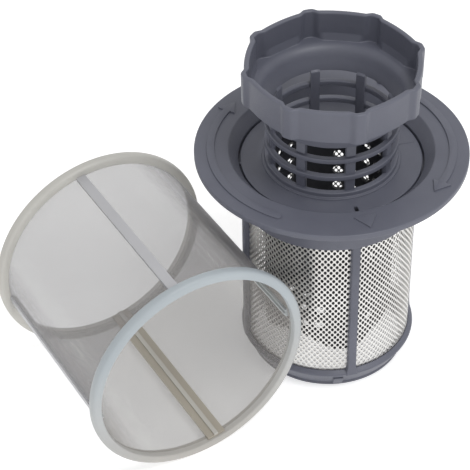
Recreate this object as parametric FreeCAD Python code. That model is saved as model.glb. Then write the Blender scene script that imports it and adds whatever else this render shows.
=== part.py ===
import FreeCAD, Part
import math
import os

# A dishwasher filter in three parts, in millimetres, +Z up, the origin at the middle of its foot.
# The body stands upright: a wide flange, a perforated steel screen below it and a tapered foot.
# The coarse basket hangs in the body by its plate, and its knobbed grip ring stands above.
# The fine mesh sleeve is taken off and lies on its side on the same floor.
# An angle named phi is counted from -Y towards +X, so phi 0 is the front of the filter.

V = FreeCAD.Vector

# Flange, with the recess that takes the basket's plate
flange_radius = 50.0
flange_top = 93.0
flange_thickness = 2.4
recess_step = 2.2
recess_spread = 3.8
recess_depth = 4.6
flare_wall = 2.0

# Screen, and the body's skirt, ribs and foot that hold it
screen_radius = 31.6
screen_thickness = 0.4
screen_sides = 32
screen_hole_radius = 1.65
screen_hole_rows = 5
screen_hole_sides = 6
skirt_wall = 2.2
skirt_reach = 20.9
ledge_overlap = 1.0
ledge_thickness = 2.6
rib_count = 4
rib_width = 3.2
rib_foot_width = 4.4
rib_flare_height = 5.0
foot_wall = 2.0
foot_widest_at = 8.0
foot_height = 9.8
foot_taper = 4.0
foot_step_width = 3.2
foot_step_at = 6.0
lug_angle = 12.0
lug_bottom = 1.0
lug_top = 6.0
lug_height = 0.9
lug_root = 0.6

# Raised marks on the flange
mark_height = 0.4
arrow_radius = 44.0
arrow_width = 2.8
arrow_head_width = 7.0
arrow_tail_phi = -41.5
arrow_barb_phi = -134.0
arrow_tip_phi = -141.5
triangle_radius = 44.0
triangle_length = 6.3
triangle_width = 8.2

# Basket: grip ring and funnel
knob_count = 8
grip_rise = 38.2
grip_height = 12.6
grip_wall = 2.0
knob_radius = 33.2
corner_radius = 31.7
side_radius = 31.2
knob_base_angle = 6.2
knob_tip_angle = 3.1
funnel_floor = 1.0
funnel_lip_radius = 26.0
funnel_lip_drop = 1.2
funnel_wall = 1.7
throat_drop = 8.6

# Basket: rings and bars above the plate, and the wall with holes below it
plate_thickness = 1.8
plate_gap = 0.6
ring_outer_radius = 24.4
ring_wall = 2.2
ring_height = 2.0
ring_sides = 32
rings_above_plate = 2
ladder_step = 7.6
throat_wall = 2.4
bar_setback = 1.3
bar_depth = 1.6
bar_width = 3.6
collar_height = 2.3
collar_foot_width = 1.0
collar_foot_height = 0.5
lower_wall = 1.3
lower_sides = 24
lower_hole_width = 4.2
lower_hole_rows = 8
lower_hole_columns = 12
floor_height = 24.0
band_height = 11.4
arch_rise = 7.2
floor_thickness = 1.6
floor_hub_radius = 5.0
spoke_width = 1.8
pip_width = 1.7
pip_length = 2.8
pip_at = 31.0

# Sleeve
sleeve_ring_radius = 42.8
sleeve_ring_width = 4.0
sleeve_ring_bevel = 1.1
sleeve_pitch = 75.2
sleeve_ring_depth = 3.4
sleeve_sides = 48
mesh_thickness = 0.3
sleeve_bar_count = 4
sleeve_bar_width = 3.5
sleeve_bar_height = 0.9
sleeve_strip_width = 7.0
sleeve_strip_height = 0.8
sleeve_fin_width = 1.0
sleeve_fin_height = 0.7
sleeve_bar_phase = 9.2
sleeve_turn = 16.5
sleeve_distance = 39.6
sleeve_forward = 12.35

# Heights and radii that follow from the sizes above
flange_underside = flange_top - flange_thickness
recess_radius = screen_radius + recess_step
recess_mouth_radius = recess_radius + recess_spread
plate_top = flange_top - recess_depth
plate_bottom = plate_top - plate_thickness
plate_radius = recess_radius - plate_gap
ledge_bottom = plate_bottom - ledge_thickness
ledge_radius = screen_radius - ledge_overlap
skirt_radius = screen_radius + skirt_wall
skirt_bottom = flange_top - skirt_reach
screen_flat = screen_radius * math.cos(math.pi / screen_sides)
foot_radius = screen_radius + foot_wall
foot_end_radius = foot_radius - foot_taper
foot_bore_radius = screen_radius - foot_step_width
grip_top = flange_top + grip_rise
grip_bottom = grip_top - grip_height
funnel_edge = grip_bottom + funnel_floor
throat_at = funnel_edge - throat_drop
throat_radius = ring_outer_radius - throat_wall
ring_inner_radius = ring_outer_radius - ring_wall
bar_outer_radius = ring_outer_radius - bar_setback
bar_inner_radius = bar_outer_radius - bar_depth
collar_top = plate_top + collar_height
lower_inner_radius = ring_outer_radius - lower_wall
floor_bottom = floor_height - floor_thickness
mesh_radius = sleeve_ring_radius - sleeve_ring_depth
mesh_inner_radius = mesh_radius - mesh_thickness
sleeve_x = -skirt_radius - sleeve_distance


def polar(radius, phi, z=0.0):
    a = math.radians(phi)
    return V(radius * math.sin(a), -radius * math.cos(a), z)


def face_of(corners):
    return Part.Face(Part.makePolygon(corners + corners[:1]))


def spun(shape, phi):
    return shape.rotated(V(0, 0, 0), V(0, 0, 1), phi)


def around(count, start=0.0):
    return [start + 360.0 * k / count for k in range(count)]


def turned(points, angle=360):
    """Revolve a closed outline of (radius, height) corners about Z, starting at +X."""
    corners = [V(r, 0, z) for r, z in points]
    return face_of(corners).revolve(V(0, 0, 0), V(0, 0, 1), angle)


def sided_solid(sides, outline):
    """A many-sided turning with one side facing the front, from (corner radius, height) levels."""
    levels = [[polar(r, phi, z) for phi in around(sides, 180.0 / sides)] for r, z in outline]
    faces = [face_of(levels[0]), face_of(levels[-1])]
    for lower, upper in zip(levels, levels[1:]):
        for k in range(sides):
            faces.append(face_of([lower[k - 1], lower[k], upper[k], upper[k - 1]]))
    return Part.Solid(Part.Shell(faces))


def prism(sides, radius, bottom, top):
    return sided_solid(sides, [(radius, bottom), (radius, top)])


def sided_tube(sides, outer, inner_flat, bottom, top):
    """A tube with flat sides, measured over its outer corners and its inner flats."""
    hollow = prism(sides, inner_flat / math.cos(math.pi / sides), bottom, top)
    return prism(sides, outer, bottom, top).cut(hollow)


def block(width, inner, outer, bottom, top, phi):
    """A radial block, from one radius to another, with its width across."""
    shape = Part.makeBox(width, outer - inner, top - bottom, V(-width / 2, -outer, bottom))
    return spun(shape, phi)


# Body

def flange_arrow(turn):
    """Curved arrow, clockwise seen from above, with a rounded tail."""
    def at(radius, phi):
        return polar(radius, phi + turn, flange_top)

    outer = arrow_radius + arrow_width / 2
    inner = arrow_radius - arrow_width / 2
    halfway = (arrow_tail_phi + arrow_barb_phi) / 2
    tail_end = arrow_tail_phi + math.degrees(arrow_width / 2 / arrow_radius)
    edges = [
        Part.Arc(at(outer, arrow_barb_phi), at(outer, halfway), at(outer, arrow_tail_phi)),
        Part.Arc(at(outer, arrow_tail_phi), at(arrow_radius, tail_end), at(inner, arrow_tail_phi)),
        Part.Arc(at(inner, arrow_tail_phi), at(inner, halfway), at(inner, arrow_barb_phi)),
    ]
    head = [
        at(inner, arrow_barb_phi),
        at(arrow_radius - arrow_head_width / 2, arrow_barb_phi),
        at(arrow_radius, arrow_tip_phi),
        at(arrow_radius + arrow_head_width / 2, arrow_barb_phi),
        at(outer, arrow_barb_phi),
    ]
    edges += [Part.LineSegment(a, b) for a, b in zip(head, head[1:])]
    outline = Part.Wire([e.toShape() for e in edges])
    return Part.Face(outline).extrude(V(0, 0, mark_height))


def flange_triangle():
    """Pointer at the front of the flange, its tip outwards."""
    base = triangle_length / 2 - triangle_radius
    corners = [
        V(-triangle_width / 2, base, flange_top),
        V(0, base - triangle_length, flange_top),
        V(triangle_width / 2, base, flange_top),
    ]
    return face_of(corners).extrude(V(0, 0, mark_height))


def flange_and_skirt():
    """Flange, recess, ledge and skirt as one turned wall, with a seat for the screen's flat sides."""
    wall = turned([
        (flange_radius, flange_top),
        (recess_mouth_radius, flange_top),
        (recess_radius, plate_top),
        (recess_radius, plate_bottom),
        (ledge_radius, plate_bottom),
        (ledge_radius, skirt_bottom),
        (skirt_radius, skirt_bottom),
        (skirt_radius, ledge_bottom),
        (recess_mouth_radius + flare_wall, flange_underside),
        (flange_radius, flange_underside),
    ])
    return wall.cut(prism(screen_sides, screen_radius, skirt_bottom, ledge_bottom))


def foot_ring():
    """Tapered ring with a step that the screen stands on."""
    ring = turned([
        (foot_bore_radius, 0),
        (foot_end_radius, 0),
        (foot_radius, foot_widest_at),
        (screen_radius, foot_height),
        (foot_bore_radius, foot_height),
    ])
    return ring.cut(prism(screen_sides, screen_radius, foot_step_at, foot_height))


def foot_lug(phi):
    """Bayonet block on the foot's taper, ending under a rib."""
    def taper(z):
        return foot_end_radius + (foot_radius - foot_end_radius) * z / foot_widest_at

    lug = turned([
        (taper(lug_bottom) - lug_root, lug_bottom),
        (taper(lug_bottom) + lug_height, lug_bottom),
        (taper(lug_top) + lug_height, lug_top),
        (taper(lug_top) - lug_root, lug_top),
    ], lug_angle)
    return spun(lug, phi - 90 - lug_angle)


def body_rib(phi):
    """Bar outside the screen, wider where it runs into the foot ring."""
    half = rib_width / 2
    wide = rib_foot_width / 2
    flare_top = foot_widest_at + rib_flare_height
    plan = [
        V(-wide, -screen_flat, foot_widest_at),
        V(wide, -screen_flat, foot_widest_at),
        V(half, -screen_flat, flare_top),
        V(half, -screen_flat, skirt_bottom),
        V(-half, -screen_flat, skirt_bottom),
        V(-half, -screen_flat, flare_top),
    ]
    return spun(face_of(plan).extrude(V(0, screen_flat - foot_radius, 0)), phi)


def body_frame():
    pieces = [foot_ring()]
    for phi in around(rib_count):
        pieces += [body_rib(phi), foot_lug(phi)]
    pieces += [flange_arrow(0), flange_arrow(180), flange_triangle()]
    return flange_and_skirt().multiFuse(pieces).removeSplitter()


# Screen

def screen_hole(phi, height):
    """A punch with a few flat sides, square on to one side of the screen."""
    corners = []
    for a in around(screen_hole_sides):
        spot = polar(screen_hole_radius, a)
        corners.append(V(spot.x, -screen_radius - screen_thickness, height + spot.y))
    return spun(face_of(corners).extrude(V(0, 3 * screen_thickness, 0)), phi)


def strainer_screen():
    """Steel tube in flat sides, with a coarse stand-in for its fine staggered holes."""
    wall = sided_tube(screen_sides, screen_radius, screen_flat - screen_thickness, foot_step_at, ledge_bottom)
    row_pitch = (skirt_bottom - foot_height) / screen_hole_rows
    per_bay = screen_sides // rib_count
    punches = []
    for row in range(screen_hole_rows):
        height = foot_height + (row + 0.5) * row_pitch
        for side in range(screen_sides):
            place = side % per_bay
            if place and (place + row) % 2:
                punches.append(screen_hole(360.0 * side / screen_sides, height))
    return wall.cut(Part.makeCompound(punches))


# Basket

def knobbed_outline(inset, z):
    """Nearly straight sides with a knob at every corner, all drawn in by inset."""
    edges = []
    step = 360.0 / knob_count
    corner = corner_radius - inset
    for phi in around(knob_count):
        knob = [
            polar(corner, phi - knob_base_angle, z),
            polar(knob_radius - inset, phi - knob_tip_angle, z),
            polar(knob_radius - inset, phi + knob_tip_angle, z),
            polar(corner, phi + knob_base_angle, z),
        ]
        edges += [Part.LineSegment(a, b) for a, b in zip(knob, knob[1:])]
        middle = polar(side_radius - inset, phi + step / 2, z)
        edges.append(Part.Arc(knob[-1], middle, polar(corner, phi + step - knob_base_angle, z)))
    return Part.Face(Part.Wire([e.toShape() for e in edges]))


def grip_ring():
    rise = V(0, 0, grip_height)
    hollow = knobbed_outline(grip_wall, grip_bottom).extrude(rise)
    return knobbed_outline(0, grip_bottom).extrude(rise).cut(hollow)


def funnel():
    """Dished floor of the grip that turns down into the throat, and the cone below it."""
    lip_at = funnel_edge - funnel_lip_drop
    dish = turned([
        (knob_radius, grip_bottom),
        (knob_radius, funnel_edge),
        (corner_radius - grip_wall, funnel_edge),
        (funnel_lip_radius, lip_at),
        (throat_radius, throat_at),
        (ring_outer_radius, throat_at),
        (funnel_lip_radius + funnel_wall, lip_at - funnel_wall),
        (side_radius, grip_bottom),
    ])
    plan = knobbed_outline(0, throat_at).extrude(V(0, 0, grip_height + throat_drop))
    return dish.common(plan)


def ladder():
    """Upright bars from the plate to the funnel, and the rings that cross them outside."""
    pieces = [block(bar_width, bar_inner_radius, bar_outer_radius, plate_bottom, throat_at, phi)
              for phi in around(knob_count)]
    for k in range(rings_above_plate):
        top = collar_top + (k + 1) * ladder_step
        pieces.append(sided_tube(ring_sides, ring_outer_radius, ring_inner_radius, top - ring_height, top))
    return pieces


def plate_and_collar():
    """Round plate with a small slot near its edge, and the ring that stands on it on a low foot."""
    plate = Part.makeCylinder(plate_radius, plate_thickness, V(0, 0, plate_bottom))
    hollow_corner = ring_inner_radius / math.cos(math.pi / ring_sides)
    slot = block(pip_width, pip_at - pip_length / 2, pip_at + pip_length / 2, plate_bottom, plate_top, 0)
    foot_radius_here = ring_outer_radius + collar_foot_width
    foot_top = plate_top + collar_foot_height
    return [
        plate.cut([prism(ring_sides, hollow_corner, plate_bottom, plate_top), slot]),
        sided_tube(ring_sides, foot_radius_here, ring_inner_radius, plate_top, foot_top),
        sided_tube(ring_sides, ring_outer_radius, ring_inner_radius, plate_top, collar_top),
    ]


def lower_hole(phi, height):
    half = lower_hole_width / 2
    return block(lower_hole_width, bar_inner_radius, 2 * ring_outer_radius, height - half, height + half, phi)


def lower_end():
    """Wall below the plate with rows of holes, none at front or back, and a lower edge in arches."""
    band_bottom = floor_height - band_height
    wall = sided_tube(lower_sides, ring_outer_radius, lower_inner_radius, band_bottom, plate_bottom)
    row_pitch = (plate_bottom - floor_height) / lower_hole_rows
    holes = []
    for phi in around(lower_hole_columns):
        if phi % 180:
            holes += [lower_hole(phi, floor_height + (k + 0.5) * row_pitch) for k in range(lower_hole_rows)]
    wall = wall.cut(Part.makeCompound(holes))
    half_span = ring_outer_radius * math.sin(math.radians(45))
    arch_radius = (half_span ** 2 + arch_rise ** 2) / (2 * arch_rise)
    reach = 2 * ring_outer_radius
    for phi in (45, 135):
        start = polar(-reach, phi, band_bottom + arch_rise - arch_radius)
        wall = wall.cut(Part.makeCylinder(arch_radius, 2 * reach, start, polar(1, phi)))
    hub = Part.makeCylinder(floor_hub_radius, floor_thickness, V(0, 0, floor_bottom))
    spoke_end = lower_inner_radius + lower_wall / 2
    spokes = [block(spoke_width, floor_hub_radius / 2, spoke_end, floor_bottom, floor_height, phi)
              for phi in around(knob_count)]
    return [wall, hub] + spokes


def coarse_basket():
    pieces = [grip_ring()] + plate_and_collar() + ladder() + lower_end()
    return funnel().multiFuse(pieces).removeSplitter()


# Sleeve

def laid_down(shape):
    """Turn a piece modelled on the Z axis, its first bar in front, to where the sleeve lies."""
    middle = spun(shape, 90 + sleeve_bar_phase).translated(V(0, 0, -sleeve_pitch / 2))
    level = middle.rotated(V(0, 0, 0), V(1, 0, 0), 90)
    return spun(level, sleeve_turn).translated(V(sleeve_x, -sleeve_forward, sleeve_ring_radius))


def mesh_hollow(radius, bottom, top):
    """The mesh follows the sleeve's flat sides, and what touches it is cut to the same sides."""
    return prism(sleeve_sides, radius / math.cos(math.pi / sleeve_sides), bottom, top)


def sleeve_ring(centre):
    """End ring with bevelled outer edges, level with the mesh on its inside."""
    bottom = centre - sleeve_ring_width / 2
    top = centre + sleeve_ring_width / 2
    ring = sided_solid(sleeve_sides, [
        (sleeve_ring_radius - sleeve_ring_bevel, bottom),
        (sleeve_ring_radius, bottom + sleeve_ring_bevel),
        (sleeve_ring_radius, top - sleeve_ring_bevel),
        (sleeve_ring_radius - sleeve_ring_bevel, top),
    ])
    return ring.cut(mesh_hollow(mesh_inner_radius, bottom, top))


def sleeve_bar(phi):
    """Outer strip, and a wider inner strip with a fin along its middle, either side of the mesh."""
    reach = sleeve_ring_width / 2
    start = -reach
    end = sleeve_pitch + reach
    strip_top = mesh_inner_radius - sleeve_strip_height
    inner_strip = block(sleeve_strip_width, strip_top, mesh_radius, start, end, phi)
    inner_strip = inner_strip.common(mesh_hollow(mesh_inner_radius, start, end))
    fin = block(sleeve_fin_width, strip_top - sleeve_fin_height, strip_top, start, end, phi)
    outer_top = mesh_radius + sleeve_bar_height
    outer_strip = block(sleeve_bar_width, mesh_inner_radius, outer_top, reach, sleeve_pitch - reach, phi)
    outer_strip = outer_strip.cut(prism(sleeve_sides, mesh_radius, start, end))
    return [inner_strip, fin, outer_strip]


def sleeve_frame():
    pieces = [sleeve_ring(sleeve_pitch)]
    for phi in around(sleeve_bar_count):
        pieces += sleeve_bar(phi)
    return laid_down(sleeve_ring(0).multiFuse(pieces).removeSplitter())


def sleeve_mesh():
    reach = sleeve_ring_width / 2
    wall = sided_tube(sleeve_sides, mesh_radius, mesh_inner_radius, reach, sleeve_pitch - reach)
    return laid_down(wall)


os.makedirs("parts", exist_ok=True)
nodes = {
    "body_frame": body_frame(),
    "strainer_screen": strainer_screen(),
    "coarse_basket": coarse_basket(),
    "sleeve_frame": sleeve_frame(),
    "sleeve_mesh": sleeve_mesh(),
}
for name, shape in nodes.items():
    box = shape.BoundBox
    print(name, "solids", len(shape.Solids), "valid", shape.isValid(), "volume", round(shape.Volume, 1),
          "z", round(box.ZMin, 2), round(box.ZMax, 2))
    shape.exportStep("parts/" + name + ".step")
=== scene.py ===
import math

import bmesh
import bpy
from mathutils import Matrix, Vector


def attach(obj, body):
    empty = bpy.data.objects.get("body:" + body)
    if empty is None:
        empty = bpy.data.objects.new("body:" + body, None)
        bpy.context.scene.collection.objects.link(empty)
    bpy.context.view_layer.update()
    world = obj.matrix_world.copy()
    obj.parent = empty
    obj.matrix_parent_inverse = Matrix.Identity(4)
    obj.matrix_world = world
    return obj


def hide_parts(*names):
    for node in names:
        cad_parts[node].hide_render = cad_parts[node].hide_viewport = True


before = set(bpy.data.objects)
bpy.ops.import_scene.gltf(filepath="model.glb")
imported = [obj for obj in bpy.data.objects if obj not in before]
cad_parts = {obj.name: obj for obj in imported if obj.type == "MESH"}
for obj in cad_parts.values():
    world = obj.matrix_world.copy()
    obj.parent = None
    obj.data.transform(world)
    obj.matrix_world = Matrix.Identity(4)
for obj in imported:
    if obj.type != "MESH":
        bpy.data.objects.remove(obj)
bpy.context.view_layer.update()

mm = 0.001
# a noise texture's values lie mostly between these two
noiseLow, noiseHigh = 0.3, 0.7

# measuring and mesh helpers; sizes below are in millimetres


def polarPoint(radius, phi, height=0.0):
    turn = math.radians(phi)
    return Vector((radius * math.sin(turn), -radius * math.cos(turn), height)) * mm


def softened(corners, steps=4):
    # a corner is (radius, height, rounding), and a rounded one becomes a short curve
    points = []
    for k, corner in enumerate(corners):
        here = Vector(corner[:2])
        rounding = corner[2] if len(corner) > 2 else 0.0
        if not rounding:
            points.append(here)
            continue
        back = Vector(corners[k - 1][:2]) - here
        onward = Vector(corners[(k + 1) % len(corners)][:2]) - here
        reach = rounding / math.tan(back.angle(onward) / 2)
        reach = min(reach, 0.49 * back.length, 0.49 * onward.length)
        start = here + back.normalized() * reach
        end = here + onward.normalized() * reach
        for s in range(steps + 1):
            t = s / steps
            points.append(start * (1 - t) ** 2 + here * 2 * t * (1 - t) + end * t * t)
    return points


def curved(points, steps):
    # a smooth run through the points
    run = []
    for k in range(len(points) - 1):
        four = [Vector(points[min(max(k + d, 0), len(points) - 1)]) for d in (-1, 0, 1, 2)]
        for s in range(steps):
            t = s / steps
            run.append(four[1] + (four[2] - four[0]) * t / 2
                       + (four[0] - four[1] * 2.5 + four[2] * 2 - four[3] / 2) * t ** 2
                       + (four[3] - four[0] + (four[1] - four[2]) * 3) * t ** 3 / 2)
    return run + [Vector(points[-1])]


def turnedMesh(section, segments, start=0.0, sweep=360.0):
    # section is a closed outline of (radius, height), or a function that gives one for each angle
    sectionAt = section if callable(section) else lambda phi: section
    whole = sweep >= 360
    steps = segments if whole else segments + 1
    mesh = bmesh.new()
    rings = []
    for s in range(steps):
        phi = start + sweep * s / segments
        rings.append([mesh.verts.new(polarPoint(p[0], phi, p[1])) for p in sectionAt(phi)])
    for s in range(segments):
        here, following = rings[s], rings[(s + 1) % steps]
        for k in range(len(here)):
            mesh.faces.new((here[k - 1], following[k - 1], following[k], here[k]))
    if not whole:
        mesh.faces.new(rings[0])
        mesh.faces.new(rings[-1][::-1])
    bmesh.ops.recalc_face_normals(mesh, faces=mesh.faces)
    return mesh


def extrudedMesh(points, shift, edge, segments=2):
    # a flat face pushed along shift, its far rim rounded by edge
    mesh = bmesh.new()
    face = mesh.faces.new([mesh.verts.new(Vector(point) * mm) for point in points])
    lifted = bmesh.ops.extrude_face_region(mesh, geom=[face])["geom"]
    corners = [item for item in lifted if isinstance(item, bmesh.types.BMVert)]
    bmesh.ops.translate(mesh, verts=corners, vec=Vector(shift) * mm)
    bmesh.ops.recalc_face_normals(mesh, faces=mesh.faces)
    far = set(corners)
    rim = [e for e in mesh.edges if e.verts[0] in far and e.verts[1] in far]
    bmesh.ops.bevel(mesh, geom=rim, offset=edge * mm, segments=segments, affect="EDGES", profile=0.5)
    return mesh


def boxMesh(width, inner, outer, bottom, top, edge):
    # a bar at the front, from one radius to another
    mesh = bmesh.new()
    bmesh.ops.create_cube(mesh, size=1.0)
    size = Vector((width, outer - inner, top - bottom)) * mm
    middle = Vector((0, -(inner + outer) / 2, (bottom + top) / 2)) * mm
    for vert in mesh.verts:
        vert.co = Vector([a * b for a, b in zip(vert.co, size)]) + middle
    edges = list(mesh.edges)
    bmesh.ops.bevel(mesh, geom=edges, offset=edge * mm, segments=2, affect="EDGES", profile=0.5)
    return mesh


def spun(mesh, turn):
    # turned about the axis, in degrees
    about = Matrix.Rotation(math.radians(turn), 3, "Z")
    bmesh.ops.rotate(mesh, verts=mesh.verts, cent=(0, 0, 0), matrix=about)
    return mesh


def newObject(name, mesh, material=None):
    data = bpy.data.meshes.new(name)
    mesh.to_mesh(data)
    mesh.free()
    piece = bpy.data.objects.new(name, data)
    bpy.context.scene.collection.objects.link(piece)
    if material:
        data.materials.append(material)
    return piece


def joinedPiece(name, parts, material, angle=35):
    # several closed meshes as one piece, shaded smooth up to the given angle
    mesh = bmesh.new()
    for part in parts:
        if isinstance(part, bpy.types.Object):
            mesh.from_mesh(part.data)
            bpy.data.objects.remove(part)
        else:
            plain = bpy.data.meshes.new("part")
            part.to_mesh(plain)
            part.free()
            mesh.from_mesh(plain)
            bpy.data.meshes.remove(plain)
    piece = newObject(name, mesh, material)
    shadeSmooth(piece.data, angle)
    return piece


def shadeSmooth(data, angle):
    data.polygons.foreach_set("use_smooth", [True] * len(data.polygons))
    data.set_sharp_from_angle(angle=math.radians(angle))


# helpers for node trees


def feed(tree, socket, value):
    # another node's socket is linked, and a number or colour is set
    if isinstance(value, bpy.types.NodeSocket):
        tree.links.new(value, socket)
    elif value is not None:
        socket.default_value = value


def worked(tree, operation, first, second=None, third=None):
    node = tree.nodes.new("ShaderNodeMath")
    node.operation = operation
    for socket, value in zip(node.inputs, (first, second, third)):
        feed(tree, socket, value)
    return node.outputs[0]


def shaderNode(tree, kind, **values):
    node = tree.nodes.new(kind)
    for label, value in values.items():
        feed(tree, node.inputs[label.replace("_", " ")], value)
    return node


def mixed(tree, share, first, second):
    # share 0 gives the first colour and 1 the second
    node = tree.nodes.new("ShaderNodeMix")
    node.data_type = "RGBA"
    colours = [socket for socket in node.inputs if socket.type == "RGBA"]
    for socket, value in zip([node.inputs[0]] + colours, (share, first, second)):
        feed(tree, socket, value)
    return [socket for socket in node.outputs if socket.type == "RGBA"][0]


# one tree of Geometry Nodes places a piece in columns round the axis and rows up it


def columnsAndRowsTree():
    tree = bpy.data.node_groups.new("columnsAndRows", "GeometryNodeTree")
    tree.is_modifier = True
    sockets = tree.interface
    sockets.new_socket("Piece", in_out="INPUT", socket_type="NodeSocketGeometry")
    for label, kind, value in (
        ("Columns", "NodeSocketInt", 1),
        ("Rows", "NodeSocketInt", 1),
        ("Column Turn", "NodeSocketFloat", 0.0),
        ("Row Rise", "NodeSocketFloat", 0.0),
        ("Stagger", "NodeSocketFloat", 0.0),
        ("Weld", "NodeSocketFloat", 0.0),
    ):
        sockets.new_socket(label, in_out="INPUT", socket_type=kind).default_value = value
    sockets.new_socket("Finish", in_out="INPUT", socket_type="NodeSocketMaterial")
    sockets.new_socket("Result", in_out="OUTPUT", socket_type="NodeSocketGeometry")
    nodes, links = tree.nodes, tree.links
    given = nodes.new("NodeGroupInput")
    result = nodes.new("NodeGroupOutput")

    columns, rows = given.outputs["Columns"], given.outputs["Rows"]
    index = nodes.new("GeometryNodeInputIndex").outputs[0]
    row = worked(tree, "FLOOR", worked(tree, "DIVIDE", index, columns))
    column = worked(tree, "MODULO", index, columns)
    shift = worked(tree, "MULTIPLY", worked(tree, "MODULO", row, 2), given.outputs["Stagger"])
    turn = worked(tree, "MULTIPLY", worked(tree, "ADD", column, shift), given.outputs["Column Turn"])

    line = nodes.new("GeometryNodeMeshLine")
    links.new(worked(tree, "MULTIPLY", columns, rows), line.inputs["Count"])
    line.inputs["Offset"].default_value = (0, 0, 0)
    height = nodes.new("ShaderNodeCombineXYZ")
    links.new(worked(tree, "MULTIPLY", row, given.outputs["Row Rise"]), height.inputs["Z"])
    placed = nodes.new("GeometryNodeSetPosition")
    links.new(line.outputs[0], placed.inputs["Geometry"])
    links.new(height.outputs[0], placed.inputs["Position"])
    angles = nodes.new("ShaderNodeCombineXYZ")
    links.new(turn, angles.inputs["Z"])
    rotation = nodes.new("FunctionNodeEulerToRotation")
    links.new(angles.outputs[0], rotation.inputs[0])
    copies = nodes.new("GeometryNodeInstanceOnPoints")
    links.new(placed.outputs[0], copies.inputs["Points"])
    links.new(given.outputs["Piece"], copies.inputs["Instance"])
    links.new(rotation.outputs[0], copies.inputs["Rotation"])
    realized = nodes.new("GeometryNodeRealizeInstances")
    links.new(copies.outputs[0], realized.inputs[0])
    welded = nodes.new("GeometryNodeMergeByDistance")
    links.new(realized.outputs[0], welded.inputs["Geometry"])
    links.new(given.outputs["Weld"], welded.inputs["Distance"])
    finished = nodes.new("GeometryNodeSetMaterial")
    links.new(welded.outputs[0], finished.inputs["Geometry"])
    links.new(given.outputs["Finish"], finished.inputs["Material"])
    links.new(finished.outputs[0], result.inputs[0])
    return tree


repeatTree = columnsAndRowsTree()


def repeated(name, mesh, material, columns=1, rows=1, rowRise=0.0, stagger=0.0, weld=0.0,
             columnTurn=None):
    # columns share the full circle unless columnTurn gives their pitch in degrees
    piece = newObject(name, mesh, material)
    modifier = piece.modifiers.new("repeat", "NODES")
    modifier.node_group = repeatTree
    values = {
        "Columns": columns, "Rows": rows, "Row Rise": rowRise * mm,
        "Column Turn": math.radians(columnTurn or 360 / columns),
        "Stagger": stagger, "Weld": weld * mm, "Finish": material,
    }
    for item in repeatTree.interface.items_tree:
        if item.in_out == "INPUT" and item.name in values:
            modifier[item.identifier] = values[item.name]
    evaluated = piece.evaluated_get(bpy.context.evaluated_depsgraph_get())
    plain = bpy.data.meshes.new_from_object(evaluated)
    piece.modifiers.remove(modifier)
    piece.data = plain
    return piece


# finishes


def colourOf(red, green, blue):
    # a colour as it is read off a screen, 0 to 255
    def linear(level):
        level /= 255
        return level / 12.92 if level <= 0.04045 else ((level + 0.055) / 1.055) ** 2.4
    return (linear(red), linear(green), linear(blue), 1.0)


def mouldedSkinGroup():
    # moulded plastic: slow cloudy shifts of tone, and a fine grain
    group = bpy.data.node_groups.new("mouldedSkin", "ShaderNodeTree")
    sockets = group.interface
    for label, kind, value in (
        ("Tone", "NodeSocketColor", (0.5, 0.5, 0.5, 1)),
        ("Shade", "NodeSocketColor", (0.4, 0.4, 0.4, 1)),
        ("Cloud Scale", "NodeSocketFloat", 40.0),
        ("Grain Scale", "NodeSocketFloat", 2500.0),
        ("Smooth", "NodeSocketFloat", 0.35),
        ("Rough", "NodeSocketFloat", 0.5),
    ):
        sockets.new_socket(label, in_out="INPUT", socket_type=kind).default_value = value
    sockets.new_socket("Colour", in_out="OUTPUT", socket_type="NodeSocketColor")
    sockets.new_socket("Roughness", in_out="OUTPUT", socket_type="NodeSocketFloat")
    sockets.new_socket("Height", in_out="OUTPUT", socket_type="NodeSocketFloat")
    given = group.nodes.new("NodeGroupInput").outputs
    result = group.nodes.new("NodeGroupOutput")
    place = group.nodes.new("ShaderNodeTexCoord").outputs["Object"]
    clouds = shaderNode(group, "ShaderNodeTexNoise", Vector=place, Scale=given["Cloud Scale"],
                        Detail=4.0)
    grain = shaderNode(group, "ShaderNodeTexNoise", Vector=place, Scale=given["Grain Scale"],
                       Detail=2.0)
    spread = shaderNode(group, "ShaderNodeMapRange", Value=clouds.outputs["Fac"],
                        From_Min=noiseLow, From_Max=noiseHigh)
    tone = mixed(group, spread.outputs[0], given["Shade"], given["Tone"])
    rough = shaderNode(group, "ShaderNodeMapRange", Value=grain.outputs["Fac"], From_Min=noiseLow,
                       From_Max=noiseHigh, To_Min=given["Smooth"], To_Max=given["Rough"])
    group.links.new(tone, result.inputs["Colour"])
    group.links.new(rough.outputs[0], result.inputs["Roughness"])
    group.links.new(grain.outputs["Fac"], result.inputs["Height"])
    return group


mouldedSkin = mouldedSkinGroup()


def startMaterial(name):
    material = bpy.data.materials.new(name)
    material.use_nodes = True
    return material, material.node_tree, material.node_tree.nodes["Principled BSDF"]


def skinLook(tree, tone, shade, settings):
    look = tree.nodes.new("ShaderNodeGroup")
    look.node_tree = mouldedSkin
    values = {
        "Tone": tone, "Shade": shade, "Cloud Scale": settings["cloudScale"],
        "Grain Scale": settings["grainScale"], "Smooth": settings["smooth"],
        "Rough": settings["rough"],
    }
    for label, value in values.items():
        feed(tree, look.inputs[label], value)
    return look


def wearLook(tree, skin, look, colour, settings):
    bump = shaderNode(tree, "ShaderNodeBump", Strength=settings["grain"],
                      Distance=settings["grainDepth"], Height=look.outputs["Height"])
    tree.links.new(colour, skin.inputs["Base Color"])
    tree.links.new(look.outputs["Roughness"], skin.inputs["Roughness"])
    tree.links.new(bump.outputs[0], skin.inputs["Normal"])


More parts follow.
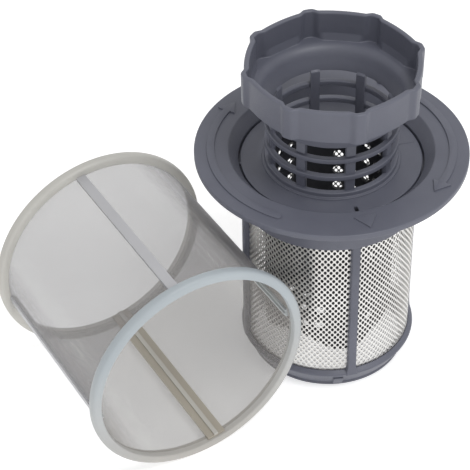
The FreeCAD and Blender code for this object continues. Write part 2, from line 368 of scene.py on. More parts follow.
def mouldedPlastic(name, settings):
    material, tree, skin = startMaterial(name)
    look = skinLook(tree, colourOf(*settings["tone"]), colourOf(*settings["shade"]), settings)
    colour = look.outputs["Colour"]
    if "paintedShadeBelow" in settings:
        # painted shade: below the plate, the parts seen only through openings are painted darker
        place = tree.nodes.new("ShaderNodeTexCoord").outputs["Object"]
        height = shaderNode(tree, "ShaderNodeSeparateXYZ", Vector=place).outputs["Z"]
        dull = shaderNode(tree, "ShaderNodeMapRange", Value=height,
                          From_Min=settings["paintedShadeBelow"] - settings["paintedShadeBlend"],
                          From_Max=settings["paintedShadeBelow"], To_Min=settings["paintedShadeLevel"], To_Max=1.0)
        shadedColour = shaderNode(tree, "ShaderNodeHueSaturation", Value=dull.outputs[0], Color=colour)
        colour = shadedColour.outputs[0]
    wearLook(tree, skin, look, colour, settings)
    return material


greyPlastic = mouldedPlastic("greyPlastic", {
    "tone": (97, 99, 111), "shade": (90, 92, 104), "cloudScale": 60.0, "grainScale": 3000.0,
    "smooth": 0.38, "rough": 0.55, "grain": 0.35, "grainDepth": 0.00005,
})
basketPlastic = mouldedPlastic("basketPlastic", {
    "tone": (96, 98, 110), "shade": (89, 91, 103), "cloudScale": 50.0, "grainScale": 3000.0,
    "smooth": 0.38, "rough": 0.55, "grain": 0.35, "grainDepth": 0.00005,
    # the plastic below the plate is painted darker: painted shade
    "paintedShadeBelow": 0.088, "paintedShadeBlend": 0.002, "paintedShadeLevel": 0.22,
})


def sleevePlastic():
    # the tint attribute takes the rings from bluish, near and high up, to cream, and marks how much of
    # the darker strip colours and of the warm one a part takes; these paint shade low on the near ring
    # and on the lowest strip
    settings = {
        "front": (174, 182, 187), "back": (196, 194, 188), "outer": (184, 184, 187),
        # strip is a beige painted darker and warmer: painted shade
        "strip": (170, 163, 150), "shade": 0.9, "cloudScale": 30.0, "grainScale": 2500.0,
        "smooth": 0.35, "rough": 0.5, "grain": 0.25, "grainDepth": 0.00005,
    }
    material, tree, skin = startMaterial("palePlastic")
    tintAndPaintedLight = tree.nodes.new("ShaderNodeAttribute")
    tintAndPaintedLight.attribute_name = "tintAndPaintedLight"
    shares = shaderNode(tree, "ShaderNodeSeparateXYZ", Vector=tintAndPaintedLight.outputs["Vector"]).outputs
    ring = mixed(tree, shares[0], colourOf(*settings["front"]), colourOf(*settings["back"]))
    strip = mixed(tree, shares[2], colourOf(*settings["outer"]), colourOf(*settings["strip"]))
    whole = mixed(tree, shares[1], ring, strip)
    darker = shaderNode(tree, "ShaderNodeHueSaturation", Value=settings["shade"], Color=whole)
    look = skinLook(tree, whole, darker.outputs[0], settings)
    wearLook(tree, skin, look, look.outputs["Colour"], settings)
    return material


palePlastic = sleevePlastic()


def perforatedSteel():
    # bright sheet, drawn up and down, so its streaks run along the axis
    settings = {
        "dark": (0.68, 0.667, 0.645, 1), "bright": (0.81, 0.80, 0.782, 1), "cloudScale": 45.0,
        "streakScale": 900.0, "streakShare": 0.06, "smooth": 0.28, "rough": 0.42,
        "grain": 0.15, "grainDepth": 0.00003,
    }
    material, tree, skin = startMaterial("perforatedSteel")
    place = tree.nodes.new("ShaderNodeTexCoord").outputs["Object"]
    along = shaderNode(tree, "ShaderNodeMapping", Vector=place, Scale=(1.0, 1.0, settings["streakShare"]))
    streaks = shaderNode(tree, "ShaderNodeTexNoise", Vector=along.outputs[0],
                         Scale=settings["streakScale"], Detail=3.0)
    clouds = shaderNode(tree, "ShaderNodeTexNoise", Vector=place, Scale=settings["cloudScale"],
                        Detail=3.0)
    tone = shaderNode(tree, "ShaderNodeValToRGB", Fac=clouds.outputs["Fac"])
    for element, position, colour in zip(tone.color_ramp.elements, (noiseLow, noiseHigh),
                                         (settings["dark"], settings["bright"])):
        element.position = position
        element.color = colour
    rough = shaderNode(tree, "ShaderNodeMapRange", Value=streaks.outputs["Fac"], From_Min=noiseLow,
                       From_Max=noiseHigh, To_Min=settings["smooth"], To_Max=settings["rough"])
    bump = shaderNode(tree, "ShaderNodeBump", Strength=settings["grain"],
                      Distance=settings["grainDepth"], Height=streaks.outputs["Fac"])
    skin.inputs["Metallic"].default_value = 1.0
    tree.links.new(tone.outputs[0], skin.inputs["Base Color"])
    tree.links.new(rough.outputs[0], skin.inputs["Roughness"])
    tree.links.new(bump.outputs[0], skin.inputs["Normal"])
    return material


screenSteel = perforatedSteel()


def wovenNylon():
    # plain weave of fine threads: UV runs in threads, once round and once along
    settings = {
        # inside is the threads' colour painted lighter and warmer on the inner face: painted light
        "outside": (128, 128, 134), "inside": (146, 141, 133), "cloud": 0.06, "cloudScale": 40.0,
        "threadShare": 0.62, "threadBlur": 0.1, "openAlpha": 0.05, "threadAlpha": 0.45,
        "aslantFrom": 0.55, "aslantTo": 0.95, "aslantAlpha": 0.3, "shadow": 0.15,
        "rough": 0.6, "grain": 0.4, "grainDepth": 0.00006,
    }
    material, tree, skin = startMaterial("wovenNylon")
    uv = tree.nodes.new("ShaderNodeTexCoord").outputs["UV"]
    directions = shaderNode(tree, "ShaderNodeSeparateXYZ", Vector=uv).outputs

    def threads(coordinate):
        # 1 on the middle of a thread and 0 in the middle of an opening
        return worked(tree, "PINGPONG", worked(tree, "MULTIPLY", coordinate, 2.0), 1.0)

    nearest = worked(tree, "MAXIMUM", threads(directions[0]), threads(directions[1]))
    opening, blur = 1 - settings["threadShare"], settings["threadBlur"]
    mask = shaderNode(tree, "ShaderNodeMapRange", Value=nearest, From_Min=opening - blur,
                      From_Max=opening + blur, To_Min=settings["openAlpha"],
                      To_Max=settings["threadAlpha"])
    # a weave seen aslant looks closed
    aslant = tree.nodes.new("ShaderNodeLayerWeight").outputs["Facing"]
    closed = shaderNode(tree, "ShaderNodeMapRange", Value=aslant, From_Min=settings["aslantFrom"],
                        From_Max=settings["aslantTo"], To_Min=0.0, To_Max=settings["aslantAlpha"])
    cover = worked(tree, "ADD", mask.outputs[0], closed.outputs[0])
    # thin nylon lets most light on through it
    rays = tree.nodes.new("ShaderNodeLightPath").outputs
    lit = worked(tree, "MAXIMUM", rays["Is Shadow Ray"], rays["Is Diffuse Ray"])
    share = worked(tree, "MULTIPLY_ADD", lit, settings["shadow"] - 1, 1.0)
    tree.links.new(worked(tree, "MULTIPLY", cover, share), skin.inputs["Alpha"])
    place = tree.nodes.new("ShaderNodeTexCoord").outputs["Object"]
    clouds = shaderNode(tree, "ShaderNodeTexNoise", Vector=place, Scale=settings["cloudScale"],
                        Detail=3.0)
    spread = shaderNode(tree, "ShaderNodeMapRange", Value=clouds.outputs["Fac"], From_Min=noiseLow,
                        From_Max=noiseHigh, To_Min=1 - settings["cloud"], To_Max=1 + settings["cloud"])
    # painted light: the inner face takes the lighter, warmer inside colour
    side = tree.nodes.new("ShaderNodeAttribute")
    side.attribute_name = "tintAndPaintedLight"
    tone = mixed(tree, side.outputs["Fac"], colourOf(*settings["outside"]), colourOf(*settings["inside"]))
    clouded = shaderNode(tree, "ShaderNodeHueSaturation", Value=spread.outputs[0], Color=tone)
    bump = shaderNode(tree, "ShaderNodeBump", Strength=settings["grain"],
                      Distance=settings["grainDepth"], Height=nearest)
    skin.inputs["Roughness"].default_value = settings["rough"]
    tree.links.new(clouded.outputs[0], skin.inputs["Base Color"])
    tree.links.new(bump.outputs[0], skin.inputs["Normal"])
    return material


fineMesh = wovenNylon()
print("finishes made")

# body: flange, skirt, ribs and foot

body = {
    "segments": 256,
    "flange": [
        (50, 93, 0.6), (37.6, 93, 0.9), (33.9, 88.6, 0.6), (33.8, 86.6), (30.6, 86.6, 0.3), (30.6, 84),
        (31.7, 84), (31.7, 72.1, 0.2), (33.8, 72.1, 0.3), (33.8, 84, 3), (39.6, 90.6, 3), (50, 90.6, 0.6),
    ],
    "flangeSteps": 5,
    "foot": [
        (28.4, 0, 0.2), (30.1, 0, 0.3), (30.1, 1.0, 0.2), (29.9, 1.2), (33.6, 8, 0.9), (33.4, 8.5, 0.5),
        (31.7, 9.8, 0.3), (31.6, 6), (28.4, 6, 0.2),
    ],
    "ribs": 4, "ribWidth": 3.2, "ribFootWidth": 4.4, "ribInner": 31.4, "ribOuter": 33.6,
    "ribBottom": 7.6, "ribFlareTop": 13.0, "ribFlareSteps": 4, "ribTop": 72.6, "ribEdge": 0.45,
    "lugAngle": 12.0, "lugSweep": 6.5, "lugSegments": 10, "lugBottom": 1.0, "lugTop": 6.0,
    "lugHeight": 0.6, "lugEdge": 0.4, "taperStart": 29.6, "taper": 0.5,
}


def ribMesh():
    # a bar outside the screen that widens into the foot
    half, wide = body["ribWidth"] / 2, body["ribFootWidth"] / 2
    flare = body["ribFlareTop"] - body["ribBottom"]
    outline = [(-wide, body["ribBottom"]), (wide, body["ribBottom"])]
    for s in range(body["ribFlareSteps"] + 1):
        t = s / body["ribFlareSteps"]
        outline.append((wide + (half - wide) * (3 - 2 * t) * t * t, body["ribBottom"] + flare * t))
    outline.append((half, body["ribTop"]))
    outline += [(-x, z) for x, z in outline[:1:-1]]
    points = [(x, -body["ribInner"], z) for x, z in outline]
    return extrudedMesh(points, (0, body["ribInner"] - body["ribOuter"], 0), body["ribEdge"], 3)


def lugMesh():
    def taper(height):
        return body["taperStart"] + body["taper"] * height

    low, high, rise, edge = body["lugBottom"], body["lugTop"], body["lugHeight"], body["lugEdge"]
    section = softened([(taper(low) - rise, low), (taper(low) + rise, low, edge),
                        (taper(high) + rise, high, edge), (taper(high) - rise, high)])
    return turnedMesh(section, body["lugSegments"], -body["lugAngle"], body["lugSweep"])


marks = {
    "top": 93.55, "base": 92.6, "edge": 0.07, "arrowRadius": 44.0, "arrowWidth": 2.8,
    "arrowSteps": 40, "tailSteps": 8, "headWidth": 7.0, "tailPhi": -41.5, "barbPhi": -134.0,
    "tipPhi": -141.5, "triangleRadius": 44.0, "triangleLength": 6.3, "triangleWidth": 8.2,
}


def arrowOutline(turn):
    def at(radius, phi):
        a = math.radians(phi + turn)
        return (radius * math.sin(a), -radius * math.cos(a))

    mid, half, steps = marks["arrowRadius"], marks["arrowWidth"] / 2, marks["arrowSteps"]
    barb, tail = marks["barbPhi"], marks["tailPhi"]
    sweep = [barb + (tail - barb) * s / steps for s in range(steps + 1)]
    outline = [at(mid + half, phi) for phi in sweep]
    for s in range(1, marks["tailSteps"]):
        a = math.pi * s / marks["tailSteps"]
        outline.append(at(mid + half * math.cos(a), tail + math.degrees(half * math.sin(a) / mid)))
    outline += [at(mid - half, phi) for phi in reversed(sweep)]
    wide = marks["headWidth"] / 2
    return outline + [at(mid - wide, barb), at(mid, marks["tipPhi"]), at(mid + wide, barb)]


def triangleOutline():
    half = marks["triangleWidth"] / 2
    base = marks["triangleLength"] / 2 - marks["triangleRadius"]
    return [(-half, base), (0, base - marks["triangleLength"]), (half, base)]


def markMesh(outline):
    points = [(x, y, marks["base"]) for x, y in outline]
    return extrudedMesh(points, (0, 0, marks["top"] - marks["base"]), marks["edge"])


markMeshes = [markMesh(outline) for outline in (arrowOutline(0), arrowOutline(180), triangleOutline())]
bodyShell = joinedPiece("bodyShell", [
    turnedMesh(softened(body["flange"], body["flangeSteps"]), body["segments"]),
    turnedMesh(softened(body["foot"]), body["segments"]),
    repeated("ribs", ribMesh(), greyPlastic, columns=body["ribs"]),
    repeated("lugs", lugMesh(), greyPlastic, columns=body["ribs"]),
] + markMeshes, greyPlastic)
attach(bodyShell, "filter_body")
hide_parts("body_frame")
print("body made")

# steel screen

screen = {
    "radius": 31.6, "thickness": 0.3, "columns": 93, "rows": 46, "rowRise": 1.357, "bottom": 9.7,
    "holeSize": (0.6, 0.85), "holeSides": 8, "zigzag": 0.2, "seatBottom": 6.0, "seatTop": 84.0,
    "weld": 0.004,
}


def holedCell(radius, thickness, halfTurn, low, high, holeSize, sides, perEdge=2, zigzag=0.0):
    # one hole and the curved sheet round it; holeSize is half its width and half its height
    # zigzag lifts every second point of the upper edge, so that staggered cells fit together
    rise = (high - low) / 2
    middle = (high + low) / 2
    across = [halfTurn * (1 - 2 * s / perEdge) for s in range(perEdge + 1)]
    rises = [rise + zigzag * (-1) ** (s + 1) for s in range(perEdge + 1)]
    border = list(zip(across, rises)) + [(-phi, -z) for phi, z in zip(across, rises)]
    degreesPerMm = math.degrees(1 / radius)
    hole = []
    for k in range(sides):
        a = math.tau * (k + 0.5) / sides
        hole.append((holeSize[0] * math.cos(a) * degreesPerMm, holeSize[1] * math.sin(a)))

    def nearest(spot):
        turn = math.atan2(spot[1], spot[0] / degreesPerMm)
        away = [abs(math.remainder(math.tau * (k + 0.5) / sides - turn, math.tau)) for k in range(sides)]
        return away.index(min(away))

    facing = [nearest(spot) for spot in border]
    mesh = bmesh.new()
    loops = []
    for here in (radius, radius - thickness):
        loops.append([[mesh.verts.new(polarPoint(here, phi, middle + z)) for phi, z in loop]
                      for loop in (border, hole)])
    for layer, (edge, ring) in enumerate(loops):
        for b in range(len(border)):
            after = (b + 1) % len(border)
            count = (facing[after] - facing[b]) % sides + 1
            span = [ring[(facing[b] + s) % sides] for s in range(count)]
            corners = [edge[b], edge[after]] + span[::-1]
            mesh.faces.new(corners if layer == 0 else corners[::-1])
    outer, inner = loops[0][1], loops[1][1]
    for k in range(sides):
        mesh.faces.new((outer[k], outer[k - 1], inner[k - 1], inner[k]))
    return mesh


def screenBand(low, high):
    outside, inside = screen["radius"], screen["radius"] - screen["thickness"]
    section = [(outside, low), (outside, high), (inside, high), (inside, low)]
    return turnedMesh(section, screen["columns"] * 2)


screenTop = screen["bottom"] + screen["rows"] * screen["rowRise"]
bands = [screenBand(screen["seatBottom"], screen["bottom"] + screen["zigzag"]),
         screenBand(screenTop - screen["zigzag"], screen["seatTop"])]
cell = holedCell(screen["radius"], screen["thickness"], 180 / screen["columns"], screen["bottom"],
                 screen["bottom"] + screen["rowRise"], screen["holeSize"], screen["holeSides"],
                 zigzag=screen["zigzag"])
perforatedScreen = joinedPiece("perforatedScreen", [
    repeated("holes", cell, screenSteel, screen["columns"], screen["rows"], screen["rowRise"],
             stagger=0.5, weld=screen["weld"]),
] + bands, screenSteel, 40)
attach(perforatedScreen, "filter_body")
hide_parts("strainer_screen")
print("screen made", len(perforatedScreen.data.polygons))

# basket: grip, funnel, ladder, plate, holed wall and floor

grip = {
    "segments": 384, "knobs": 8, "sideRadius": 31.2, "cornerRadius": 31.7, "knobRadius": 33.2,
    "cornerAngle": 6.2, "flankFoot": 6.9, "flankTop": 2.1, "flankShare": 0.15, "floorSpread": 3.2,
    "wall": 2.0, "footWall": 2.9, "draft": 0.1, "top": 131.2, "bottom": 118.6, "bottomRounding": 0.5,
    "rimRounding": 0.9, "cupDepth": 8.6, "cupRounding": 2.0, "floorEdge": 119.8, "steps": 6,
    "outside": [(24.4, 111.0, 0.3), (24.5, 113.6, 1.0), (27.0, 116.7, 3.0)],
    "funnel": [
        (28.2, 119.65), (27.2, 119.4), (26, 118.8), (25, 117.8), (24.2, 116.4), (23.5, 114.8),
        (22.8, 113.2), (22.3, 111.8), (22.1, 111.0),
    ],
    "funnelSteps": 3,
}
funnel = curved(grip["funnel"], grip["funnelSteps"])


def gripRadius(phi, inset=0.0, spread=0.0):
    # nearly straight sides, with a soft knob at every corner; spread widens the knob's flanks
    step = 360 / grip["knobs"]
    away = abs((phi + step / 2) % step - step / 2)
    middle = math.cos(math.radians(step / 2 - grip["cornerAngle"]))
    share = max((math.cos(math.radians(step / 2 - away)) - middle) / (1 - middle), 0)
    side = grip["cornerRadius"] + (grip["sideRadius"] - grip["cornerRadius"]) * share - inset
    knob = grip["knobRadius"] - (grip["wall"] if inset else 0)
    start = grip["flankFoot"] + spread
    end = grip["flankTop"] - grip["flankShare"] * spread
    t = min(max((start - away) / (start - end), 0), 1)
    return side + (knob - side) * t * t * (3 - 2 * t)


def gripSection(phi):
    out, inner = gripRadius(phi), gripRadius(phi, grip["wall"])
    foot = gripRadius(phi, grip["footWall"], grip["floorSpread"])
    top, rim, draft = grip["top"], grip["rimRounding"], grip["draft"]
    return softened(grip["outside"] + [
        (out - draft, grip["bottom"], grip["bottomRounding"]), (out, top, rim), (inner, top, rim),
        (inner - draft, top - grip["cupDepth"], grip["cupRounding"]),
        (foot, grip["floorEdge"], grip["bottomRounding"]),
    ] + funnel, grip["steps"])


ladder = {
    "bars": 8, "barWidth": 3.6, "barInner": 21.4, "barOuter": 23.2, "barBottom": 86.8, "barTop": 112.4,
    "barEdge": 0.25, "capDrop": 1.6, "capZone": 1.0, "ringInner": 22.2, "ringOuter": 24.4,
    "ringHeight": 2.1, "ringEdges": (0.4, 0.5), "ringStep": 7.6, "segments": 192,
    "firstAbove": 98.3, "above": 2,
}


def ringMesh(high):
    low = high - ladder["ringHeight"]
    inside, outside = ladder["ringEdges"]
    section = softened([(ladder["ringInner"], low, inside), (ladder["ringOuter"], low, outside),
                        (ladder["ringOuter"], high, outside), (ladder["ringInner"], high, inside)], 3)
    return turnedMesh(section, ladder["segments"])


def barMesh():
    # its upper end slopes down towards the middle
    mesh = boxMesh(ladder["barWidth"], ladder["barInner"], ladder["barOuter"], ladder["barBottom"],
                   ladder["barTop"], ladder["barEdge"])
    depth = ladder["barOuter"] - ladder["barInner"]
    for vert in mesh.verts:
        if vert.co.z > (ladder["barTop"] - ladder["capZone"]) * mm:
            share = (vert.co.y / mm + ladder["barOuter"]) / depth
            vert.co.z -= ladder["capDrop"] * share * mm
    return mesh


plate = {
    "section": [
        (22.2, 86.6), (33.2, 86.6, 0.3), (33.2, 88.4, 0.4), (25.4, 88.4), (25.3, 88.9, 0.3),
        (24.4, 89.0, 0.3), (24.4, 90.8, 0.6), (22.2, 90.8, 0.4),
    ],
    "segments": 256, "linePhi": 90, "nibPhi": -98.5,
    "slot": {"width": 1.5, "inner": 29.7, "outer": 32.3, "bottom": 86, "top": 89, "edge": 0.5},
    "line": {"width": 0.35, "inner": 25.6, "outer": 31.8, "bottom": 88.2, "top": 88.52, "edge": 0.1},
    "nib": {"width": 1.0, "inner": 32.6, "outer": 33.6, "bottom": 87.0, "top": 88.4, "edge": 0.3},
}


def plateObject():
    made = newObject("plate", turnedMesh(softened(plate["section"]), plate["segments"]), basketPlastic)
    cutter = newObject("slot", boxMesh(**plate["slot"]))
    cut = made.modifiers.new("slot", "BOOLEAN")
    cut.object = cutter
    cut.solver = "EXACT"
    evaluated = made.evaluated_get(bpy.context.evaluated_depsgraph_get())
    plain = bpy.data.meshes.new_from_object(evaluated)
    made.modifiers.remove(cut)
    made.data = plain
    bpy.data.objects.remove(cutter)
    return made


partingLine = spun(boxMesh(**plate["line"]), plate["linePhi"])
nib = spun(boxMesh(**plate["nib"]), plate["nibPhi"])

lowerEnd = {
    "inner": 23.1, "outer": 24.4, "bottom": 21.6, "rowRise": 7.6, "top": 86.8, "rows": 8, "columns": 5,
    "columnTurn": 13.7, "firstColumn": 24.3, "holeSize": (2.1, 2.1), "holeSides": 16, "perEdge": 4,
    "panelSegments": 16, "weld": 0.004, "waveMiddle": 16.2, "wave": 3.6, "waveEdges": (0.2, 0.35),
    "waveLap": 0.02, "bandLap": 0.01, "floorBottom": 22.4, "floorTop": 24.0, "hubMiddle": 0.01,
    "hubRadius": 5.0, "hubEdge": 0.3, "hubSegments": 48, "spokeWidth": 1.8, "spokeInner": 3.0,
    "spokeOuter": 23.6, "spokeEdge": 0.25, "segments": 192,
}
holesTop = lowerEnd["bottom"] + lowerEnd["rows"] * lowerEnd["rowRise"]


def waveSection(phi):
    # the lower edge runs in waves that hang lowest at the ribs
    low = lowerEnd["waveMiddle"] - lowerEnd["wave"] * math.cos(math.radians(body["ribs"] * phi))
    high = lowerEnd["bottom"] + lowerEnd["waveLap"]
    inside, outside = lowerEnd["waveEdges"]
    return softened([(lowerEnd["inner"], low, inside), (lowerEnd["outer"], low, outside),
                     (lowerEnd["outer"], high), (lowerEnd["inner"], high)], 3)


def plainBand(low, high):
    inner, outer = lowerEnd["inner"], lowerEnd["outer"]
    return [(inner, low), (outer, low), (outer, high), (inner, high)]


def plainPanel(turn, half):
    band = plainBand(lowerEnd["bottom"], holesTop)
    return turnedMesh(band, lowerEnd["panelSegments"], turn - half, 2 * half)


def holedPanel(firstTurn):
    rise, turn, low = lowerEnd["rowRise"], lowerEnd["columnTurn"], lowerEnd["bottom"]
    mesh = holedCell(lowerEnd["outer"], lowerEnd["outer"] - lowerEnd["inner"], turn / 2, low, low + rise,
                     lowerEnd["holeSize"], lowerEnd["holeSides"], lowerEnd["perEdge"])
    return repeated("lowerHoles", spun(mesh, firstTurn), basketPlastic, lowerEnd["columns"],
                    lowerEnd["rows"], rise, weld=lowerEnd["weld"], columnTurn=turn)


def lowerWallParts():
    # the front and back of the wall have no holes, and its sides only a narrow plain strip
    turn = lowerEnd["columnTurn"]
    frontHalf = lowerEnd["firstColumn"] - turn / 2
    sideHalf = 90 - frontHalf - lowerEnd["columns"] * turn
    wall = [plainPanel(middle, half) for half, middles in ((frontHalf, (0, 180)), (sideHalf, (90, 270)))
            for middle in middles]
    firsts = (lowerEnd["firstColumn"], 90 + sideHalf + turn / 2)
    wall += [holedPanel(first + side) for first in firsts for side in (0, 180)]
    wall.append(turnedMesh(plainBand(holesTop - lowerEnd["bandLap"], lowerEnd["top"]),
                           lowerEnd["segments"]))
    return wall


def hubMesh():
    low, high, edge = lowerEnd["floorBottom"], lowerEnd["floorTop"], lowerEnd["hubEdge"]
    middle, outer = lowerEnd["hubMiddle"], lowerEnd["hubRadius"]
    section = softened([(middle, low), (outer, low, edge), (outer, high, edge), (middle, high)])
    return turnedMesh(section, lowerEnd["hubSegments"])


spokeMesh = boxMesh(lowerEnd["spokeWidth"], lowerEnd["spokeInner"], lowerEnd["spokeOuter"],
                    lowerEnd["floorBottom"], lowerEnd["floorTop"], lowerEnd["spokeEdge"])
coarseBasket = joinedPiece("coarseBasket", [
    turnedMesh(gripSection, grip["segments"]),
    repeated("rings", ringMesh(ladder["firstAbove"]), basketPlastic, rows=ladder["above"],
             rowRise=ladder["ringStep"]),
    repeated("bars", barMesh(), basketPlastic, columns=ladder["bars"]),
    plateObject(),
    turnedMesh(waveSection, lowerEnd["segments"]),
    repeated("spokes", spokeMesh, basketPlastic, columns=ladder["bars"]),
    hubMesh(), partingLine, nib,
] + lowerWallParts(), basketPlastic)
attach(coarseBasket, "basket")
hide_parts("coarse_basket")
print("basket made")

# sleeve lying beside the filter: it is shaped on the Z axis and then laid down

sleeve = {
    "pitch": 75.2, "ringRadius": 42.8, "ringDepth": 3.6, "ringWidth": 4.0, "ringEdges": (0.7, 1.7),
    "segments": 192, "meshRadius": 39.4, "meshThickness": 0.3, "meshEnd": 0.4, "threadPitch": 0.36,
    "phase": 9.2, "turn": 16.5, "place": (-73.4, -12.35, 42.8),
}
strips = {
    "count": 4, "outerWidth": 3.5, "outerRise": 0.6, "outerEnd": 1.0, "innerWidth": 3.5,
    "innerRise": 0.8, "innerEnd": 1.7, "edge": 0.3, "lap": 0.1, "finWidth": 1.0, "finRise": 0.7,
    "finEdge": 0.2, "finFoot": 0.4, "seamWidth": 7.0, "seamFinWidth": 1.6, "seamEnd": -0.8,
    "seamRise": 0.05, "seamTurn": 270, "segments": 8,
}
layDown = (
    Matrix.Translation(Vector(sleeve["place"]) * mm)
    @ Matrix.Rotation(math.radians(sleeve["turn"]), 4, "Z")
    @ Matrix.Rotation(math.radians(90), 4, "X")
    @ Matrix.Translation(Vector((0, 0, -sleeve["pitch"] / 2)) * mm)
    @ Matrix.Rotation(math.radians(90 + sleeve["phase"]), 4, "Z")
)
pitch = sleeve["pitch"]
meshInner = sleeve["meshRadius"] - sleeve["meshThickness"]


def sleeveRing(centre):
    inner, outer = sleeve["ringRadius"] - sleeve["ringDepth"], sleeve["ringRadius"]
    half = sleeve["ringWidth"] / 2
    inside, outside = sleeve["ringEdges"]
    section = softened([(inner, centre - half, inside), (outer, centre - half, outside),
                        (outer, centre + half, outside), (inner, centre + half, inside)], 5)
    return turnedMesh(section, sleeve["segments"])


def arcStrip(width, inner, outer, end, edge):
    # a bar from ring to ring that stops short of their middles by end
    sweep = math.degrees(width / inner)
    section = softened([(inner, end, edge), (outer, end, edge), (outer, pitch - end, edge),
                        (inner, pitch - end, edge)], 2)
    return turnedMesh(section, strips["segments"], -sweep / 2, sweep)


def stripParts():
    # each part with its tint: how much of the darker strip colours it takes, and how much of the warm
    # one, a beige painted darker as shade
    stripTop = meshInner - strips["innerRise"]
    finTop, finFoot = stripTop - strips["finRise"], meshInner - strips["finFoot"]
    low = meshInner + strips["lap"]
    end, edge, finEdge = strips["innerEnd"], strips["edge"], strips["finEdge"]
    outer = arcStrip(strips["outerWidth"], meshInner, sleeve["meshRadius"] + strips["outerRise"],
                     strips["outerEnd"], edge)
    inner = arcStrip(strips["innerWidth"], stripTop, low, end, edge)
    fin = arcStrip(strips["finWidth"], finTop, finFoot, end, finEdge)
    # the mesh is welded along the lowest strip, which is wider there
    rise, reach = strips["seamRise"], strips["seamEnd"]
    seam = arcStrip(strips["seamWidth"], stripTop - rise, low, reach, edge)
    seamFin = arcStrip(strips["seamFinWidth"], finTop - rise, finFoot, reach, finEdge)
    repeats = [(repeated(name, mesh, palePlastic, columns=strips["count"]), dull, warm)
               for name, mesh, dull, warm in (("outerStrips", outer, 1.0, 0.0),
                                              ("innerStrips", inner, 0.1, 1.0), ("fins", fin, 0.1, 1.0))]
    # the lowest strip takes all of the warm dark strip colour: painted shade
    return [(spun(seam, strips["seamTurn"]), 1.0, 1.0), (spun(seamFin, strips["seamTurn"]), 0.3, 1.0),
            *repeats]


def tintsAndPaintedShadeOf(part, dull, warm, isRing):
    # a ring is bluish near and high up, and near and low down it is painted darker and warmer: painted
    # shade
    share = {"creamFade": 1.3, "shadeFade": 1.6, "lowShade": 0.8, "lowWarmShade": 0.6}
    corners = part.verts if isinstance(part, bmesh.types.BMesh) else part.data.vertices
    values = []
    for vert in corners:
        near = vert.co.z / mm / pitch
        up = (layDown @ vert.co).z / mm / sleeve["ringRadius"] / 2
        # painted shade on the near ring, strongest low down
        low = max(near, 0) * max(1 - share["shadeFade"] * up, 0) if isRing else 0
        values += [min(max(1 - near * up * share["creamFade"], 0), 1),
                   max(dull, share["lowShade"] * low), max(warm, share["lowWarmShade"] * low)]
    return values


rings = [(sleeveRing(0), 0.0, 0.0), (sleeveRing(pitch), 0.0, 0.0)]
parts = rings + stripParts()
tints = [value for part in parts for value in tintsAndPaintedShadeOf(*part, part in rings)]
sleeveFrame = joinedPiece("sleeveFrame", [part[0] for part in parts], palePlastic)
sleeveFrame.data.attributes.new("tintAndPaintedLight", "FLOAT_VECTOR", "POINT").data.foreach_set("vector", tints)
sleeveFrame.data.transform(layDown)
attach(sleeveFrame, "filter_body")
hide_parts("sleeve_frame")

meshLow, meshHigh = sleeve["meshEnd"], pitch - sleeve["meshEnd"]
meshWall = turnedMesh([(meshInner, meshLow), (sleeve["meshRadius"], meshLow),
                       (sleeve["meshRadius"], meshHigh), (meshInner, meshHigh)], sleeve["segments"])
uvLayer = meshWall.loops.layers.uv.new("weave")
for face in meshWall.faces:
    centre = face.calc_center_median()
    middleTurn = math.atan2(centre.x, -centre.y)
    for loop in face.loops:
        spot = loop.vert.co
        turn = math.atan2(spot.x, -spot.y)
        # the face behind the start of the turn runs on past it
        if turn - middleTurn > math.pi:
            turn -= math.tau
        elif middleTurn - turn > math.pi:
            turn += math.tau
        loop[uvLayer].uv = (turn * sleeve["meshRadius"] / sleeve["threadPitch"],
                            spot.z / mm / sleeve["threadPitch"])
sleeveMesh = joinedPiece("sleeveMesh", [meshWall], fineMesh, 30)
# corners of the inner face are marked to take the painted light
middle = (sleeve["meshRadius"] + meshInner) / 2
sides = [1.0 if math.hypot(v.co.x, v.co.y) < middle * mm else 0.0 for v in sleeveMesh.data.vertices]
sleeveMesh.data.attributes.new("tintAndPaintedLight", "FLOAT", "POINT").data.foreach_set("value", sides)
sleeveMesh.data.transform(layDown)
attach(sleeveMesh, "filter_body")
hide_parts("sleeve_mesh")
print("sleeve made")

# floor and light, in metres

studio = {
    "floorSize": 2.0, "floorTone": 0.82, "floorGlow": 0.5, "sky": 0.6, "skySeen": 1.0,
    "lamps": {
        "keyLamp": {"place": (0.3, -0.5, 1.2), "aim": (0, 0, 0.05), "size": 0.5, "power": 6.0},
        "fillLamp": {"place": (-0.4, -1.2, 0.5), "aim": (0, 0, 0.08), "size": 0.5, "power": 1.0},
    },
}


def floorMaterial():
    # bright enough to be white, and still a little darker under the object
    material = bpy.data.materials.new("studioFloor")
    material.use_nodes = True
    tree = material.node_tree
    tree.nodes.clear()
    tone = studio["floorTone"]
    lit = shaderNode(tree, "ShaderNodeBsdfDiffuse", Color=(tone, tone, tone, 1))
    glow = shaderNode(tree, "ShaderNodeEmission", Strength=studio["floorGlow"])
    both = tree.nodes.new("ShaderNodeAddShader")
    tree.links.new(lit.outputs[0], both.inputs[0])
    tree.links.new(glow.outputs[0], both.inputs[1])
    output = tree.nodes.new("ShaderNodeOutputMaterial")
    tree.links.new(both.outputs[0], output.inputs[0])
    return material


floorPlane = bmesh.new()
bmesh.ops.create_grid(floorPlane, x_segments=1, y_segments=1, size=studio["floorSize"])
floor = newObject("floor", floorPlane, floorMaterial())


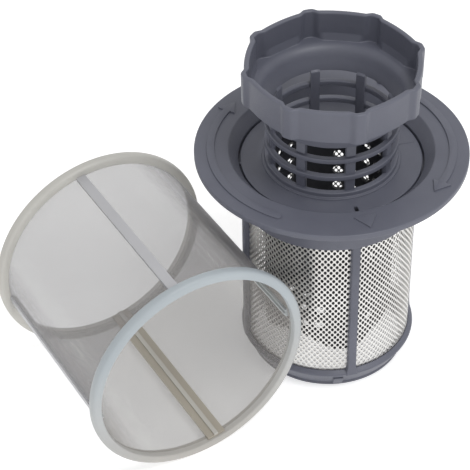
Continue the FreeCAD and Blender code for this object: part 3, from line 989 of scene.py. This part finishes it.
def studioWorld():
    # an even sky, brighter where it is seen straight or in a reflection
    world = bpy.data.worlds.new("studio")
    world.use_nodes = True
    tree = world.node_tree
    rays = tree.nodes.new("ShaderNodeLightPath").outputs
    bent = worked(tree, "MAXIMUM", rays["Is Glossy Ray"], rays["Is Transmission Ray"])
    straight = worked(tree, "MAXIMUM", rays["Is Camera Ray"], bent)
    strength = worked(tree, "MULTIPLY_ADD", straight, studio["skySeen"] - studio["sky"], studio["sky"])
    backdrop = tree.nodes["Background"]
    backdrop.inputs["Color"].default_value = (1, 1, 1, 1)
    tree.links.new(strength, backdrop.inputs["Strength"])
    return world


bpy.context.scene.world = studioWorld()


def softLamp(name, place, aim, size, power):
    light = bpy.data.lights.new(name, "AREA")
    light.shape = "SQUARE"
    light.size = size
    light.energy = power
    lamp = bpy.data.objects.new(name, light)
    lamp.location = place
    lamp.rotation_euler = (Vector(aim) - Vector(place)).to_track_quat("-Z", "Y").to_euler()
    bpy.context.scene.collection.objects.link(lamp)


for lampName, lamp in studio["lamps"].items():
    softLamp(lampName, **lamp)

# camera, found by matching the flange, the grip and the sleeve in the photograph

view = {
    "place": (-149.2, -472.4, 482.0), "turn": -13.4, "tilt": 41.09, "roll": -0.021,
    "focalPixels": 1730, "photoWidth": 470, "sensorWidth": 36,
}
tilt, roll = math.radians(view["tilt"]), view["roll"]
ahead = Vector((0, math.cos(tilt), -math.sin(tilt)))
right = Vector((1, 0, 0))
down = ahead.cross(right)
rightSeen = right * math.cos(roll) - down * math.sin(roll)
downSeen = right * math.sin(roll) + down * math.cos(roll)
turned = Matrix.Rotation(math.radians(view["turn"]), 3, "Z")
axes = [turned @ rightSeen, turned @ -downSeen, turned @ -ahead]
camera = bpy.data.objects.new("camera", bpy.data.cameras.new("camera"))
camera.data.lens = view["focalPixels"] * view["sensorWidth"] / view["photoWidth"]
camera.data.sensor_width = view["sensorWidth"]
cameraTurn = Matrix(axes).transposed().to_4x4()
camera.matrix_world = Matrix.Translation(Vector(view["place"]) * mm) @ cameraTurn
bpy.context.scene.collection.objects.link(camera)
bpy.context.scene.camera = camera
bpy.context.scene.view_settings.view_transform = "Standard"
print("stage made")
